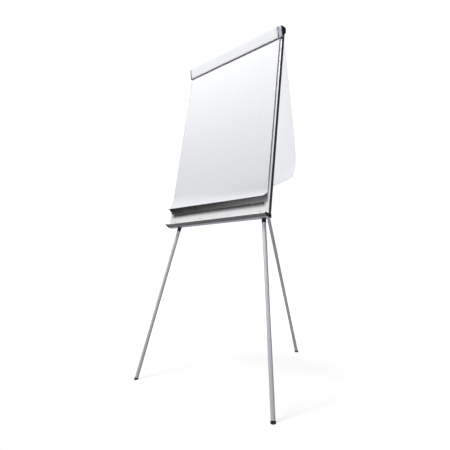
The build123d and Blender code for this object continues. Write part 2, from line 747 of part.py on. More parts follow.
# ---------------------------------------------------------------- rear leg and its hinge
bracket_seat = -BOARD_T - CLEAR
with BuildPart() as hinge_bracket:
    with BuildSketch(BOARD.offset(bracket_seat)):
        with Locations((0, (BRACKET_LOW + BRACKET_HIGH) / 2)):
            RectangleRounded(BRACKET_W, BRACKET_HIGH - BRACKET_LOW, 4.0)
    extrude(amount=-BRACKET_T)
    for ear in (-1, 1):
        with BuildSketch(across(ear * EAR_GAP)):
            with BuildLine():
                Polyline(
                    (PIVOT_V + EAR_R, PIVOT_W),
                    (BRACKET_HIGH - 2, bracket_seat - 1),
                    (BRACKET_LOW + 2, bracket_seat - 1),
                    (PIVOT_V - EAR_R, PIVOT_W),
                )
                ThreePointArc(
                    (PIVOT_V - EAR_R, PIVOT_W), (PIVOT_V, PIVOT_W - EAR_R), (PIVOT_V + EAR_R, PIVOT_W)
                )
            make_face()
            with Locations((PIVOT_V, PIVOT_W)):
                Circle(BOLT_R + 0.05, mode=Mode.SUBTRACT)
        extrude(amount=ear * EAR_T)
    with BuildSketch(BOARD.offset(bracket_seat)):
        with Locations(*bracket_screw_places):
            Circle(screw_hole)
    extrude(amount=-BRACKET_T - 1, mode=Mode.SUBTRACT)
save(hinge_bracket.part, "hinge_bracket")

# Screws behind the board, all alike: each group sits on the piece that it holds
rail_screw_seat = rail_flange_back - CLEAR
saddle_screw_seat = bracket_seat - SADDLE_FOOT_T - CLEAR
bracket_screw_seat = bracket_seat - BRACKET_T - CLEAR
back_screws = pan_screws(rail_screw_places, rail_screw_seat, -1)
back_screws += pan_screws(saddle_screw_places, saddle_screw_seat, -1)
back_screws += pan_screws(bracket_screw_places, bracket_screw_seat, -1)
save(back_screws, "back_screws")

# Head of the rear leg: a round eye on the bolt and a spigot in the outer tube
HEAD_GAP = 20.0
WASHER_T = 0.8
head_half = EAR_GAP - WASHER_T - 2 * CLEAR
with BuildPart() as rear_leg_head:
    with BuildSketch(across(-head_half)):
        with Locations((PIVOT_V, PIVOT_W)):
            Circle(EAR_R - 0.5)
    extrude(amount=2 * head_half)
    with BuildSketch(rear_leg):
        Circle(OUTER_R)
    extrude(amount=HEAD_GAP - CLEAR)
    with BuildSketch(rear_leg):
        Circle(outer_bore - CLEAR)
    extrude(amount=HEAD_GAP + 25.0)
    with BuildSketch(across(-head_half)):
        with Locations((PIVOT_V, PIVOT_W)):
            Circle(BOLT_R + 0.05)
    extrude(amount=2 * head_half, mode=Mode.SUBTRACT)
save(rear_leg_head.part, "rear_leg_head")

with BuildPart() as hinge_washers:
    for ear in (-1, 1):
        with BuildSketch(across(ear * (head_half + CLEAR))):
            with Locations((PIVOT_V, PIVOT_W)):
                Circle(9.0)
                Circle(BOLT_R + 0.1, mode=Mode.SUBTRACT)
        extrude(amount=ear * WASHER_T)
save(hinge_washers.part, "hinge_washers")

ear_face = EAR_GAP + EAR_T
NUT_T = 6.5
with BuildPart() as rear_hinge_bolt:
    with BuildSketch(across(-ear_face - CLEAR)):
        with Locations((PIVOT_V, PIVOT_W)):
            Circle(7.5)
    extrude(amount=-4.0)
    fillet(rear_hinge_bolt.edges().filter_by(GeomType.CIRCLE).sort_by(Axis.X)[0], 2.0)
    with BuildSketch(across(-ear_face - CLEAR)):
        with Locations((PIVOT_V, PIVOT_W)):
            Circle(BOLT_R)
    extrude(amount=2 * ear_face + NUT_T + 3.0)
    chamfer(rear_hinge_bolt.edges().filter_by(GeomType.CIRCLE).sort_by(Axis.X)[-1], 0.7)
save(rear_hinge_bolt.part, "rear_hinge_bolt")

with BuildPart() as rear_hinge_nut:
    with BuildSketch(across(ear_face + CLEAR)):
        with Locations((PIVOT_V, PIVOT_W)):
            RegularPolygon(7.2, 6)
            Circle(BOLT_R + 0.05, mode=Mode.SUBTRACT)
    extrude(amount=NUT_T)
save(rear_hinge_nut.part, "rear_hinge_nut")

telescopic_leg(rear_leg, "rear", HEAD_GAP, REAR_OUTER_L, rear_reach)

# ---------------------------------------------------------------- paper
FLARE_START = 185.0  # height at which the pad's front leaves the board
FLARE_LOW = 97.0
FLARE_OUT = 33.0
with BuildPart() as pad_backing_card:
    with BuildSketch(BOARD.offset(PAD_BACK)):
        with Locations((0, (PAD_LOW + PAD_TOP) / 2)):
            Rectangle(PAD_W, PAD_TOP - PAD_LOW)
        with Locations(*((side * HOOK_X, HOOK_V) for side, _ in SIDES)):
            SlotCenterToCenter(2 * HOOK_TRAVEL + 4, 2 * PEG_R + 1.2, mode=Mode.SUBTRACT)
    extrude(amount=CARD_T)
save(pad_backing_card.part, "pad_backing_card")

pages_back = PAD_BACK + CARD_T + CLEAR
with BuildPart() as paper_pad:
    with BuildSketch(across(-PAD_W / 2)):
        with BuildLine():
            Polyline(
                (FLARE_START, PAD_FRONT),
                (PAD_TOP, PAD_FRONT),
                (PAD_TOP, pages_back),
                (PAD_LOW, pages_back),
                (FLARE_LOW, FLARE_OUT),
            )
            Bezier((FLARE_LOW, FLARE_OUT), (125.0, 17.0), (150.0, PAD_FRONT), (FLARE_START, PAD_FRONT))
        make_face()
    extrude(amount=PAD_W)
    with BuildSketch(BOARD.offset(PAD_BACK)):
        with Locations(*((side * HOOK_X, HOOK_V) for side, _ in SIDES)):
            SlotCenterToCenter(2 * HOOK_TRAVEL + 4, 2 * PEG_R + 1.2)
    extrude(amount=PAD_FRONT + 2, mode=Mode.SUBTRACT)
save(paper_pad.part, "paper_pad")

# Used sheets: up the bar's front, over its top, then down behind the rear leg
sheet_gap = BAR_WALL / 2 + 0.4 + SHEET_T / 2
sheet_low = plumb(bar_low, 0.5, -sheet_gap)
sheet_corner = plumb(bar_corner, sheet_gap, -sheet_gap)
sheet_end = plumb(sheet_corner, 0, BAR_DEPTH + sheet_gap)
with BuildPart() as flipped_sheets_front:
    with BuildSketch(across(SHEET_MID - PAD_W / 2)):
        with BuildLine() as sheet_path:
            Polyline(sheet_low, sheet_corner, sheet_end)
            fillet(sheet_path.vertices().sort_by_distance((*sheet_corner, 0))[0], BAR_CORNER + sheet_gap)
        trace(line_width=SHEET_T)
    extrude(amount=PAD_W)
save(flipped_sheets_front.part, "flipped_sheets_front")

# The hanging part is a tent: its ridge lies along the rear leg and its sides hang straight.
HANG_TOP_Y = 49.0
EDGE_LEAN = 0.062
RIDGE_HALF = 22.0
DRAPE_LEVELS = (0.0, 0.35, 0.7, 1.0)
leg_back = OUTER_R + 3.0
with BuildPart() as flipped_sheets_back:
    for level in DRAPE_LEVELS:
        z = SHEET_TOP_Z + (SHEET_END_Z - SHEET_TOP_Z) * level
        edge_y = HANG_TOP_Y + EDGE_LEAN * (SHEET_TOP_Z - z)
        ridge_y = max(pivot.Y + rear_slope * (pivot.Z - z) + leg_back, edge_y + 2.0)
        half = sqrt((PAD_W / 2) ** 2 - (ridge_y - edge_y) ** 2)
        side_slope = (ridge_y - edge_y) / half
        bend_y = ridge_y - side_slope * (RIDGE_HALF - RIDGE_HALF / 2)
        with BuildSketch(Plane.XY.offset(z)):
            with Locations((SHEET_MID, 0)):
                with BuildLine():
                    for shift in (0, SHEET_T):
                        Line((-half, edge_y + shift), (-RIDGE_HALF, bend_y + shift))
                        ThreePointArc(
                            (-RIDGE_HALF, bend_y + shift),
                            (0, ridge_y + shift),
                            (RIDGE_HALF, bend_y + shift),
                        )
                        Line((RIDGE_HALF, bend_y + shift), (half, edge_y + shift))
                    Line((-half, edge_y), (-half, edge_y + SHEET_T))
                    Line((half, edge_y), (half, edge_y + SHEET_T))
            make_face()
    loft(ruled=True)
save(flipped_sheets_back.part, "flipped_sheets_back")
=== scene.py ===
from math import cos, hypot, radians, sin, sqrt

import bmesh
import bpy
from mathutils import Matrix, Vector, noise


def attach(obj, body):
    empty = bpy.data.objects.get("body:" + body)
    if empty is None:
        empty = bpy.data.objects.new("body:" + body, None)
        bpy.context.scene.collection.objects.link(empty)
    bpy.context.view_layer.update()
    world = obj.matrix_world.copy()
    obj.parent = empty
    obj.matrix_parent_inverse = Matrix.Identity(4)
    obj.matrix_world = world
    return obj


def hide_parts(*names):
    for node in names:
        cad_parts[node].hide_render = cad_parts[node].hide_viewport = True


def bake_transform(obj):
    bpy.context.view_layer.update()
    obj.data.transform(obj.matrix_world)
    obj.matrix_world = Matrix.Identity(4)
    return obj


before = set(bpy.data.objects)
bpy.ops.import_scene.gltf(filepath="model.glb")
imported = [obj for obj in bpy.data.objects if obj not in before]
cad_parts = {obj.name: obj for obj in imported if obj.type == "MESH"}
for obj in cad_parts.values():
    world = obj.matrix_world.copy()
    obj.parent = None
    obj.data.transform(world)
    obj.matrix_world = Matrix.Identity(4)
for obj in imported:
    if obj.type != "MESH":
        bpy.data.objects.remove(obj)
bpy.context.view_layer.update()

MM = 0.001

# ------------------------------------------------------------------ the board's own directions
BOARD_TILT = radians(15)
BOARD_LOW = Vector((0, -242.0, 810.0))  # lower front edge of the board, middle, mm
UP_BOARD = Vector((0, sin(BOARD_TILT), cos(BOARD_TILT)))
OUT_OF_BOARD = Vector((0, -cos(BOARD_TILT), sin(BOARD_TILT)))


def on_board(x, v, w):
    """World point, in metres, of a place given across, up and out of the board in mm."""
    return (Vector((x, 0, 0)) + BOARD_LOW + UP_BOARD * v + OUT_OF_BOARD * w) * MM


def mix(a, b, t):
    return a + (b - a) * t


def smooth(t):
    t = min(max(t, 0.0), 1.0)
    return t * t * (3 - 2 * t)


# ------------------------------------------------------------------ materials
def map_range(tree, value, low, high, to_low, to_high):
    """A node that maps value from low..high to to_low..to_high, held at the ends."""
    made = tree.nodes.new("ShaderNodeMapRange")
    for key, number in zip(("From Min", "From Max", "To Min", "To Max"), (low, high, to_low, to_high)):
        made.inputs[key].default_value = number
    tree.links.new(value, made.inputs["Value"])
    return made.outputs["Result"]


def dot_with(tree, vector, direction):
    """A node that gives how far vector points along a fixed direction."""
    made = tree.nodes.new("ShaderNodeVectorMath")
    made.operation = "DOT_PRODUCT"
    made.inputs[1].default_value = direction
    tree.links.new(vector, made.inputs[0])
    return made.outputs["Value"]


class Shader:
    """A node material on the Principled shader, with short ways to add detail to it."""

    def __init__(self, name, colour, roughness, metallic=0.0, **inputs):
        self.mat = bpy.data.materials.new(name)
        self.mat.use_nodes = True
        self.tree = self.mat.node_tree
        self.surface = self.tree.nodes["Principled BSDF"]
        self.place = self.tree.nodes.new("ShaderNodeTexCoord").outputs["Object"]
        self.set("Base Color", (*colour, 1))
        self.set("Roughness", roughness)
        self.set("Metallic", metallic)
        for key, value in inputs.items():
            self.set(key.replace("_", " "), value)
        self.colour = self.constant_colour(colour)
        self.roughness = self.constant(roughness)
        self.height = None

    def set(self, socket, value):
        self.surface.inputs[socket].default_value = value

    def node(self, kind, **settings):
        made = self.tree.nodes.new(kind)
        for key, value in settings.items():
            if key in made.inputs:
                made.inputs[key].default_value = value
            else:
                setattr(made, key, value)
        return made

    def link(self, source, target):
        self.tree.links.new(source, target)

    def constant(self, value):
        made = self.node("ShaderNodeValue")
        made.outputs[0].default_value = value
        return made.outputs[0]

    def constant_colour(self, colour):
        made = self.node("ShaderNodeRGB")
        made.outputs[0].default_value = (*colour, 1)
        return made.outputs[0]

    def stretched(self, scale):
        made = self.node("ShaderNodeMapping")
        made.inputs["Scale"].default_value = scale
        self.link(self.place, made.inputs["Vector"])
        return made.outputs[0]

    def noise(self, scale, detail=4.0, stretch=(1, 1, 1), rough=0.55):
        """Noise with about scale lumps to a metre, as a 0..1 value."""
        made = self.node("ShaderNodeTexNoise", Scale=scale, Detail=detail, Roughness=rough)
        self.link(self.stretched(stretch), made.inputs["Vector"])
        return made.outputs["Fac"]

    def cells(self, scale):
        """Cells, about scale of them to a metre."""
        made = self.node("ShaderNodeTexVoronoi", Scale=scale)
        self.link(self.place, made.inputs["Vector"])
        return made

    def ramp(self, value, low, high, to_low=0.0, to_high=1.0):
        """Maps value from low..high to to_low..to_high, held at the ends."""
        return map_range(self.tree, value, low, high, to_low, to_high)

    def maths(self, operation, first, second):
        made = self.node("ShaderNodeMath", operation=operation)
        for socket, value in zip(made.inputs, (first, second)):
            if isinstance(value, (int, float)):
                socket.default_value = value
            else:
                self.link(value, socket)
        return made.outputs[0]

    def tint(self, factor, colour):
        """Mixes colour into the base colour by factor."""
        made = self.node("ShaderNodeMix", data_type="RGBA")
        self.link(factor, made.inputs["Factor"])
        self.link(self.colour, made.inputs["A"])
        made.inputs["B"].default_value = (*colour, 1)
        self.colour = made.outputs["Result"]

    def vary_roughness(self, value, amount):
        """Adds value, centred on one half, times amount to the roughness."""
        centred = self.maths("SUBTRACT", value, 0.5)
        self.roughness = self.maths("ADD", self.roughness, self.maths("MULTIPLY", centred, amount))

    def emboss(self, value, depth):
        """Adds a height in metres for the bump."""
        scaled = self.maths("MULTIPLY", value, depth)
        self.height = scaled if self.height is None else self.maths("ADD", self.height, scaled)

    def edge_wear(self, colour, amount, sharp=0.08):
        """Brings colour in along convex edges."""
        around = self.node("ShaderNodeNewGeometry").outputs["Pointiness"]
        edge = self.ramp(around, 0.5, 0.5 + sharp, 0.0, amount)
        self.tint(edge, colour)

    def facing(self, direction):
        """How far the surface faces a world direction, -1..1."""
        normal = self.node("ShaderNodeNewGeometry").outputs["True Normal"]
        return dot_with(self.tree, normal, direction)

    def shade_gaps(self, reach, low, high, colour):
        """Shade in narrow gaps, up to reach metres deep."""
        made = self.node("ShaderNodeAmbientOcclusion", Distance=reach, samples=8)
        self.tint(self.ramp(made.outputs["AO"], low, high, 1.0, 0.0), colour)

    def shade_under_pad(self, colour):
        """The soft shade of the pad's curled end on the face below it."""
        axes = self.node("ShaderNodeSeparateXYZ")
        self.link(self.place, axes.inputs[0])
        down = self.ramp(axes.outputs["Z"], *PAD_SHADE_HEIGHT)
        down.node.interpolation_type = "SMOOTHSTEP"
        off_middle = self.maths("ABSOLUTE", axes.outputs["X"], 0)
        aside = self.ramp(off_middle, *PAD_SHADE_SIDE, PAD_SHADE_DEPTH, 0)
        self.tint(self.maths("MULTIPLY", down, aside), colour)

    def done(self):
        self.link(self.colour, self.surface.inputs["Base Color"])
        self.link(self.roughness, self.surface.inputs["Roughness"])
        if self.height is not None:
            bump = self.node("ShaderNodeBump", Distance=1.0, Strength=1.0)
            self.link(self.height, bump.inputs["Height"])
            self.link(bump.outputs["Normal"], self.surface.inputs["Normal"])
        return self.mat


PAD_SHADE_HEIGHT = (0.849, 0.874)  # height where the pad's shade begins, and where it is full, metres
PAD_SHADE_SIDE = (0.316, 0.336)  # distance from the middle where it fades out
PAD_SHADE_DEPTH = 0.96  # share of the light that it takes at its fullest
PAINTED_THROUGH_GLOW = 0.62  # painted glow that stands in for the light that comes through the hanging paper
THROUGH_TOWARD = (-0.37, -0.93, 0)  # the side that shows it
PAPER_WHITE = (0.86, 0.87, 0.90)
PAPER_CLOUD = (0.80, 0.81, 0.85)


def enamel(name, colour, roughness):
    s = Shader(name, colour, roughness, Coat_Weight=0.3, Coat_Roughness=0.08)
    s.emboss(s.noise(900, 2), 0.000012)
    s.vary_roughness(s.noise(9, 5), 0.22)
    s.tint(s.ramp(s.noise(14, 6), 0.52, 0.8, 0, 0.10), (0.76, 0.79, 0.84))
    s.shade_under_pad((0.04, 0.036, 0.036))
    return s.done()


def zinc_sheet(name):
    s = Shader(name, (0.60, 0.61, 0.63), 0.42, 0.75)
    flakes = s.cells(95)
    s.tint(s.ramp(flakes.outputs["Color"], 0.1, 0.9, 0, 0.45), (0.42, 0.43, 0.46))
    s.vary_roughness(flakes.outputs["Color"], 0.25)
    s.tint(s.ramp(s.noise(5, 6), 0.5, 0.75, 0, 0.30), (0.72, 0.72, 0.71))
    s.emboss(flakes.outputs["Distance"], 0.00003)
    s.emboss(s.noise(260, 3), 0.00001)
    return s.done()


def brushed(name, colour, roughness, along, metallic=0.85, wear=0.25):
    """Metal drawn or brushed along an axis: fine streaks the other way, bright edges."""
    s = Shader(name, colour, roughness, metallic)
    across = tuple(1.0 if axis == along else 60.0 for axis in "xyz")
    streaks = s.noise(14, 5, across, 0.7)
    s.emboss(streaks, 0.000012)
    s.vary_roughness(streaks, 0.22)
    s.tint(s.ramp(s.noise(6, 5), 0.45, 0.8, 0, 0.22), tuple(c * 0.72 for c in colour))
    s.edge_wear(tuple(min(1.0, c * 1.25) for c in colour), wear)
    return s.done()


def tube_paint(name, colour):
    """Silver lacquer on steel tube: fine flake, faint drawing lines and scuffs."""
    s = Shader(name, colour, 0.42, 0.22, Coat_Weight=0.15, Coat_Roughness=0.25)
    flake = s.cells(2600)
    s.tint(s.ramp(flake.outputs["Color"], 0.55, 0.95, 0, 0.12), (0.88, 0.90, 0.93))
    s.emboss(s.noise(40, 3, (14, 14, 1)), 0.00001)
    s.emboss(s.noise(1300, 2), 0.000006)
    s.vary_roughness(s.noise(30, 5), 0.2)
    s.tint(s.ramp(s.noise(11, 7), 0.58, 0.75, 0, 0.14), tuple(c * 0.75 for c in colour))
    return s.done()


def powder_coat(name, colour, roughness=0.46, painted_lit_face_colour=None):
    """Powder paint: fine orange peel; faces along the board can have their own colour, a painted light
    that makes the side toward the lamps paler than the shaded rest.
    """
    s = Shader(name, colour, roughness)
    if painted_lit_face_colour:
        # painted light: faces that look out of the board take the paler lit colour, the rest keep the
        # darker shaded one
        s.tint(s.ramp(s.facing(tuple(OUT_OF_BOARD)), 0.85, 0.97), painted_lit_face_colour)
    s.emboss(s.noise(1100, 2), 0.00003)
    s.vary_roughness(s.noise(60, 4), 0.15)
    s.tint(s.ramp(s.noise(8, 6), 0.5, 0.8, 0, 0.16), tuple(c * 0.80 for c in colour))
    s.edge_wear(tuple(min(1.0, c * 1.1) for c in colour), 0.3)
    return s.done()


def moulded(name, colour, roughness=0.5, grain=1500, depth=0.00004):
    """Moulded plastic: spark texture, slight sheen change and paler rubbed edges."""
    s = Shader(name, colour, roughness)
    s.emboss(s.noise(grain, 3), depth)
    s.vary_roughness(s.noise(45, 5), 0.22)
    s.tint(s.ramp(s.noise(22, 6), 0.5, 0.8, 0, 0.5), tuple(min(1.0, c * 1.6 + 0.012) for c in colour))
    s.edge_wear(tuple(min(1.0, c * 2 + 0.05) for c in colour), 0.45)
    return s.done()


def rubber(name, colour):
    s = Shader(name, colour, 0.72)
    s.emboss(s.noise(700, 4), 0.00008)
    s.vary_roughness(s.noise(60, 5), 0.2)
    s.tint(s.ramp(s.noise(40, 7), 0.5, 0.75, 0, 0.5), (0.14, 0.13, 0.125))
    return s.done()


def card(name, colour):
    s = Shader(name, colour, 0.85)
    s.tint(s.ramp(s.noise(240, 8, (1, 1, 3)), 0.48, 0.75, 0, 0.55), tuple(c * 0.62 for c in colour))
    s.tint(s.ramp(s.noise(600, 3), 0.62, 0.8, 0, 0.6), tuple(min(1, c * 1.5) for c in colour))
    s.emboss(s.noise(420, 5), 0.00006)
    return s.done()


def paper_surface(name):
    """Uncoated paper: fibre clouds and fine tooth."""
    s = Shader(name, PAPER_WHITE, 0.62, Sheen_Weight=0.08)
    s.tint(s.ramp(s.noise(55, 8), 0.42, 0.78, 0, 0.35), PAPER_CLOUD)
    s.tint(s.ramp(s.noise(2200, 3), 0.55, 0.8, 0, 0.18), PAPER_CLOUD)
    s.emboss(s.noise(1700, 4), 0.00001)
    s.emboss(s.noise(90, 4), 0.00002)
    s.vary_roughness(s.noise(300, 4), 0.12)
    return s


def paper(name):
    return paper_surface(name).done()


def stacked_paper(name):
    """Paper in a stack: brown shade between the pages and on the side that faces down."""
    s = paper_surface(name)
    s.shade_gaps(0.014, 0.66, 0.985, (0.040, 0.030, 0.026))
    s.tint(s.ramp(s.facing((0, 0, -1)), 0.2, 0.7, 0, 0.85), (0.035, 0.026, 0.022))
    return s.done()


def hanging_paper(name):
    """Paper with the bright room behind it: a painted glow on the side in shade stands in for the light
    that comes through.
    """
    s = paper_surface(name)
    # painted light: emission on the side in shade, a glow rather than real light through the paper
    glow = s.ramp(s.facing(THROUGH_TOWARD), -0.3, 0.6, 0.04, PAINTED_THROUGH_GLOW)
    s.link(glow, s.surface.inputs["Emission Strength"])
    s.set("Emission Color", (0.97, 0.98, 1.0, 1))
    return s.done()


def page_edges(name, colour, dark):
    """Cut edges of the stacked pages: fine uneven lines."""
    s = Shader(name, colour, 0.8)
    lines = s.noise(900, 3, (0.05, 1, 1))
    s.tint(s.ramp(lines, 0.40, 0.62, 0.75, 0.0), dark)
    s.tint(s.ramp(s.noise(40, 5, (1, 0.3, 0.3)), 0.45, 0.7, 0, 0.35), dark)
    s.emboss(lines, 0.00008)
    return s.done()


MATERIALS = {
    "white_enamel": enamel("white_enamel", (0.93, 0.94, 0.96), 0.26),
    "zinc_sheet": zinc_sheet("zinc_sheet"),
    "honeycomb": card("honeycomb", (0.60, 0.47, 0.31)),
    "dark_trim": moulded("dark_trim", (0.050, 0.051, 0.056), 0.38, 1800, 0.00002),
    "satin_aluminium": brushed("satin_aluminium", (0.52, 0.55, 0.62), 0.38, "x", 0.7),
    # white tray: the darker base is painted shade for faces away from the lamps, the last colour painted
    # light on faces out of the board
    "white_tray": powder_coat("white_tray", (0.84, 0.82, 0.80), 0.46, (0.90, 0.91, 0.93)),
    "silver_plastic": moulded("silver_plastic", (0.26, 0.28, 0.33), 0.42, 1500, 0.00002),
    "black_plastic": moulded("black_plastic", (0.010, 0.010, 0.012), 0.5),
    "silver_tube": tube_paint("silver_tube", (0.78, 0.80, 0.85)),
    "foot_rubber": rubber("foot_rubber", (0.022, 0.021, 0.020)),
    "grip_rubber": rubber("grip_rubber", (0.06, 0.06, 0.06)),
    "zinc_steel": brushed("zinc_steel", (0.62, 0.62, 0.60), 0.35, "z", 0.9, 0.4),
    "spring_steel": brushed("spring_steel", (0.34, 0.35, 0.37), 0.30, "x", 0.95, 0.5),
    "bracket_steel": powder_coat("bracket_steel", (0.40, 0.42, 0.45), 0.4),
    "hook_plastic": moulded("hook_plastic", (0.05, 0.05, 0.055)),
    "grey_card": card("grey_card", (0.42, 0.40, 0.37)),
    "white_paper": paper("white_paper"),
}
# Ends of the pad's pages: the dark brown is painted shade for the shaded underside of the curl; the cut
# paper itself is pale
PAGE_EDGES_PAINTED_SHADE = page_edges("page_edges", (0.26, 0.195, 0.155), (0.075, 0.055, 0.045))
HANGING_PAPER = hanging_paper("hanging_paper")
PAPER_RIM = page_edges("paper_rim", (0.88, 0.87, 0.86), (0.66, 0.64, 0.62))
PAD_PAPER = stacked_paper("pad_paper")

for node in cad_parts.values():
    for slot in node.material_slots:
        base = slot.material.name.split(".")[0]
        if base in MATERIALS:
            slot.material = MATERIALS[base]


# ------------------------------------------------------------------ paper
def sheet_object(name, rows, thickness, face, end, hanging=None, hang_row=0):
    """A closed sheet round a grid of mid-surface points (metres), with its own cut edges.

    The lower end takes the end material, and rows from hang_row on take the hanging one.
    """
    high, wide = len(rows), len(rows[0])
    normals = []
    for i in range(high):
        line = []
        for j in range(wide):
            down = rows[min(i + 1, high - 1)][j] - rows[max(i - 1, 0)][j]
            side = rows[i][min(j + 1, wide - 1)] - rows[i][max(j - 1, 0)]
            line.append(down.cross(side).normalized())
        normals.append(line)
    mesh = bpy.data.meshes.new(name)
    verts = []
    for sign in (0.5, -0.5):
        for i in range(high):
            for j in range(wide):
                verts.append(rows[i][j] + normals[i][j] * (sign * thickness))
    count = high * wide
    faces = []
    for i in range(high - 1):
        for j in range(wide - 1):
            a = i * wide + j
            quad = (a, a + wide, a + wide + 1, a + 1)
            faces.append(quad)
            faces.append(tuple(count + k for k in reversed(quad)))
    flat = len(faces)
    rim = list(range(wide))
    rim += [i * wide + wide - 1 for i in range(1, high)]
    rim += [(high - 1) * wide + j for j in range(wide - 2, -1, -1)]
    rim += [i * wide for i in range(high - 2, 0, -1)]
    for a, b in zip(rim, rim[1:] + rim[:1]):
        faces.append((a, b, count + b, count + a))
    mesh.from_pydata(verts, [], faces)
    for mat in (face, hanging or face, PAPER_RIM, end):
        mesh.materials.append(mat)
    end_from = flat + wide + high - 2  # first rim face along the lower end
    for index, polygon in enumerate(mesh.polygons):
        polygon.use_smooth = index < flat
        if index < flat:
            polygon.material_index = 1 if index // (2 * (wide - 1)) >= hang_row > 0 else 0
        else:
            polygon.material_index = 3 if end_from <= index < end_from + wide - 1 else 2
    mesh.update()
    made = bpy.data.objects.new(name, mesh)
    bpy.context.scene.collection.objects.link(made)
    return made


def bezier(p0, p1, p2, p3, t):
    s = 1 - t
    return p0 * s**3 + p1 * (3 * s * s * t) + p2 * (3 * s * t * t) + p3 * t**3


# The pad: bundles of pages, flat on the board and fanned out where the lower end curls.
# Pairs give the last page and the first one, in mm up the board (V) or out of it (W).
PAD_HALF = 338.0
PAD_TOP = 1040.0
PAGES_W = (3.1, 8.4)  # the stack's back and front
BEND_V = (118.0, 188.0)  # where the curl begins
TIP_V = (72.5, 96.5)  # where a page ends at the left edge
TIP_LIFT = (1.0, 30.0)  # how far its end comes off the stack
TIP_RISE_ACROSS = 3.0  # how much higher the first page ends at the right edge
LIFT_ACROSS = (1.0, 0.22)  # share of the lift at the left edge and at the right one
STEEPNESS = (0.10, 0.62)  # slope of a page at its end
HOLD_SHARE = 0.42  # handles of the curl, as shares of its length
LEAD_SHARE = 0.30
CORNER_TUCK = 0.6  # how far a rounded corner falls back for each mm cut off
BUNDLES = 12
BUNDLE_T = 0.40
BUNDLE_SHIFT = 0.35  # sideways play of the bundles
PAD_COLUMNS = 36
CORNER_R = (5.0, 26.0)  # left, right
CORNER_COLUMNS = 7
FLAT_ROWS = 14
CURL_ROWS = 26


def pad_places():
    """Places across the pad, closer together at its rounded lower corners."""
    left, right = (PAD_HALF - r for r in CORNER_R)
    places = [mix(-left, right, j / PAD_COLUMNS) for j in range(PAD_COLUMNS + 1)]
    turns = [radians(90) * (j + 1) / CORNER_COLUMNS for j in range(CORNER_COLUMNS)]
    left_corner = [-left - CORNER_R[0] * sin(turn) for turn in reversed(turns)]
    return left_corner + places + [right + CORNER_R[1] * sin(turn) for turn in turns]


def pad_line(x, depth):
    """(v, w) down one bundle at x; depth is 0 for the last page and 1 for the first."""
    across = (x + PAD_HALF) / (2 * PAD_HALF)
    rest_w = mix(PAGES_W[0] + BUNDLE_T / 2, PAGES_W[1] - BUNDLE_T / 2, depth)
    bend_v = mix(*BEND_V, depth)
    lift = mix(*LIFT_ACROSS, across**0.8) + 0.02 * sin(across * 7.0)
    tip_w = rest_w + mix(*TIP_LIFT, depth**1.2) * lift
    tip_v = mix(*TIP_V, depth) + TIP_RISE_ACROSS * across * depth
    corner_r = CORNER_R[0 if x < 0 else 1]
    side = min(max(abs(x) - PAD_HALF + corner_r, 0.0), corner_r * 0.998)
    cut = corner_r - sqrt(corner_r**2 - side**2)
    tip_v += cut
    tip_w -= cut * CORNER_TUCK * depth
    start = Vector((bend_v, rest_w))
    tip = Vector((tip_v, tip_w))
    length = bend_v - tip_v
    hold = start - Vector((length * HOLD_SHARE, 0))
    lead = tip + Vector((1, -mix(*STEEPNESS, depth))) * (length * LEAD_SHARE)
    line = []
    for i in range(FLAT_ROWS):
        line.append(Vector((mix(PAD_TOP, bend_v, i / FLAT_ROWS), rest_w)))
    for i in range(CURL_ROWS + 1):
        line.append(bezier(start, hold, lead, tip, i / CURL_ROWS))
    return line


for k in range(BUNDLES):
    depth = k / (BUNDLES - 1)
    columns = []
    shift = BUNDLE_SHIFT * noise.noise(Vector((k * 3.7, 0.0, 0.0)))
    for x in pad_places():
        columns.append([on_board(x + shift, p.x, p.y) for p in pad_line(x, depth)])
    rows = [[column[i] for column in columns] for i in range(len(columns[0]))]
    leaf = sheet_object(f"pad_pages_{k:02d}", rows, BUNDLE_T * MM, PAD_PAPER, PAGE_EDGES_PAINTED_SHADE)
    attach(leaf, "board")
    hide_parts("paper_pad")

# The used sheets: from the pad, up the clamp bar, over its top and down behind the rear leg
SHEET_COLUMNS = 44
OVER_POINTS = (
    (1001.4, 10.9),
    (1000.6, 13.0),
    (1001.8, 15.2),
    (1005.0, 16.8),
    (1016.0, 19.8),
    (1032.0, 24.0),
    (1046.0, 27.8),
    (1056.0, 30.3),
    (1062.5, 31.3),
    (1066.2, 29.0),
    (1067.6, 22.0),
    (1070.0, 12.0),
    (1072.3, 3.0),
    (1074.0, -5.0),
    (1073.6, -12.0),
    (1068.5, -18.0),
    (1060.0, -21.5),
    (1050.0, -23.5),
)
OVER_STEPS = 4
BACK_ROWS = 6  # last rows of the bend that already have the hanging look
SHEETS = 2
SHEET_T = 0.4
SHEET_GAP = 0.55  # between the middles of two sheets
SHEET_NARROWER = 0.6  # on each side, for each further sheet
SHEET_SHORTER = 2.5
SHEET_MID = -2.5
HANG_LENGTH = 789.0
HANG_ROWS = 70
MIDDLE_DROP = 40.0  # how much further the middle hangs than the edges
EDGE_FALL = (0.0, 0.2, 0.4, 0.6, 0.8, 0.93, 1.0)
EDGE_Y = (0.0, 10.5, 20.0, 30.5, 41.0, 44.0, 34.0)  # the sheet's edge behind its start, mm
PIVOT = Vector((0, 57.7, 1739.1))  # where the rear leg turns
FOOT_REAR_Y = 450.2
LEG_BACK = 15.5  # the sheet's ridge behind the rear leg's middle line
RIDGE_ROUND = 16.0
LEAST_RISE = 3.0
MOST_LEAN = 0.9
WAVE = 2.2
CORNER_FROM = 0.86  # share of the half width and of the fall where the corners curl in
CORNER_CURL = 10.0


def table(xs, ys, x):
    """Smooth look-up of y at x in a short table."""
    if x <= xs[0]:
        return ys[0]
    for k in range(len(xs) - 1):
        if x <= xs[k + 1]:
            t = (x - xs[k]) / (xs[k + 1] - xs[k])
            before = ys[max(k - 1, 0)]
            after = ys[min(k + 2, len(ys) - 1)]
            a, b = ys[k], ys[k + 1]
            return 0.5 * (
                2 * a + (b - before) * t + (2 * before - 5 * a + 4 * b - after) * t * t
                + (3 * a - before - 3 * b + after) * t**3
            )
    return ys[-1]


